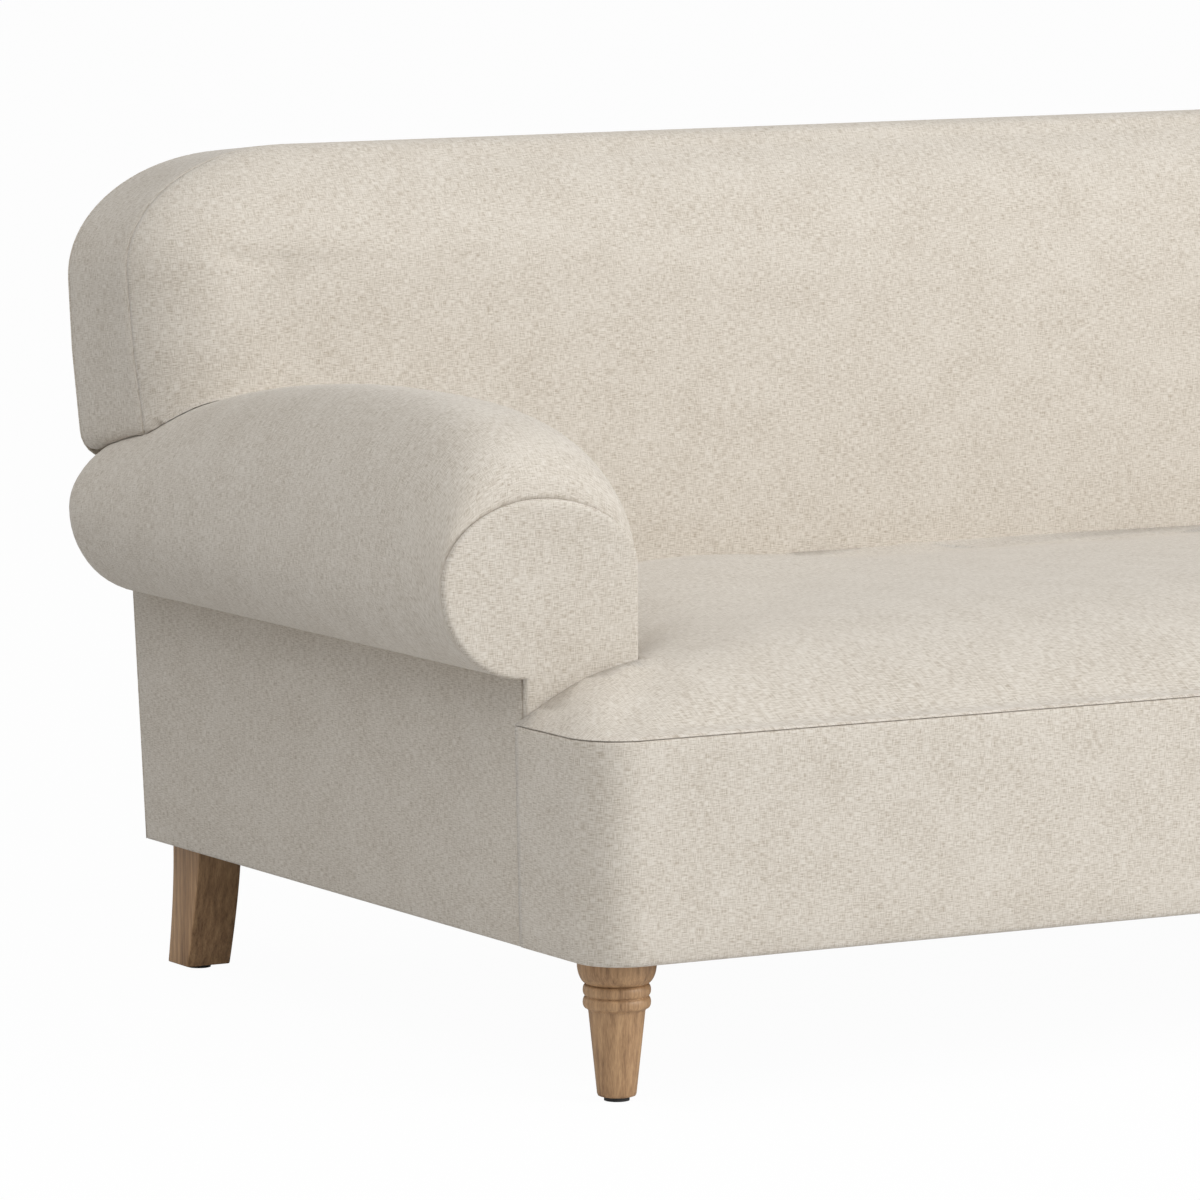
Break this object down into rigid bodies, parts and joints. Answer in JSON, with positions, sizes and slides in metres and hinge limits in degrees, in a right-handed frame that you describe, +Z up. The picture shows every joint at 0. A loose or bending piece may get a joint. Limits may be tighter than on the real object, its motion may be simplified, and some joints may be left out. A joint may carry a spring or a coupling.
{
  "type": "english roll arm sofa",
  "caption": "Sofa with low rolled arms, a tight crowned T-shaped seat, a tight boxed back and turned front legs.",
  "frame": {"origin": "on the floor under the middle of the whole sofa", "axes": "+X across the sofa to the sitter's left, +Y from the front to the back, +Z up"},
  "size_m": [2.134, 1.0116, 0.8384],
  "materials": {
    "cover_fabric": "woven linen look, matte",
    "leg_wood": "oiled oak, satin",
    "frame_wood": "planed softwood and plywood, bare",
    "foam": "open-cell foam with fibre wrap",
    "burlap": "jute cloth",
    "dust_cloth": "black non-woven cloth",
    "webbing": "woven elastic webbing",
    "spring_steel": "oiled spring wire",
    "zinc_steel": "zinc plated",
    "glide_plastic": "moulded nylon"
  },
  "bodies": {
    "root": {"seat_cover": "cover_fabric", "front_border_cover": "cover_fabric", "arm_cover_left": "cover_fabric", "arm_cover_right": "cover_fabric", "arm_facing_left": "cover_fabric", "arm_facing_right": "cover_fabric", "outside_arm_panel_left": "cover_fabric", "outside_arm_panel_right": "cover_fabric", "back_cover": "cover_fabric", "outside_back_panel": "cover_fabric", "front_legs": "leg_wood", "rear_legs": "leg_wood", "front_rail": "frame_wood", "rear_rail": "frame_wood", "side_rail_left": "frame_wood", "side_rail_right": "frame_wood", "seat_cross_braces": "frame_wood", "corner_blocks": "frame_wood", "wing_block_left": "frame_wood", "wing_block_right": "frame_wood", "arm_front_board_left": "frame_wood", "arm_front_board_right": "frame_wood", "arm_rear_board_left": "frame_wood", "arm_rear_board_right": "frame_wood", "arm_top_rail_left": "frame_wood", "arm_top_rail_right": "frame_wood", "arm_tack_slats": "frame_wood", "back_post_left": "frame_wood", "back_post_right": "frame_wood", "back_top_rail": "frame_wood", "back_end_board_left": "frame_wood", "back_end_board_right": "frame_wood", "back_end_rails": "frame_wood", "back_low_rail": "frame_wood", "back_uprights": "frame_wood", "seat_foam": "foam", "seat_edge_roll": "foam", "front_border_padding": "foam", "arm_foam_left": "foam", "arm_foam_right": "foam", "back_foam": "foam", "seat_deck": "burlap", "dust_cover": "dust_cloth", "back_webbing": "webbing", "seat_springs": "spring_steel", "spring_tie_wires": "spring_steel", "spring_clips": "spring_steel", "leg_plates": "zinc_steel", "hanger_bolts": "zinc_steel", "leg_glides": "glide_plastic"}
  },
  "joints": []
}
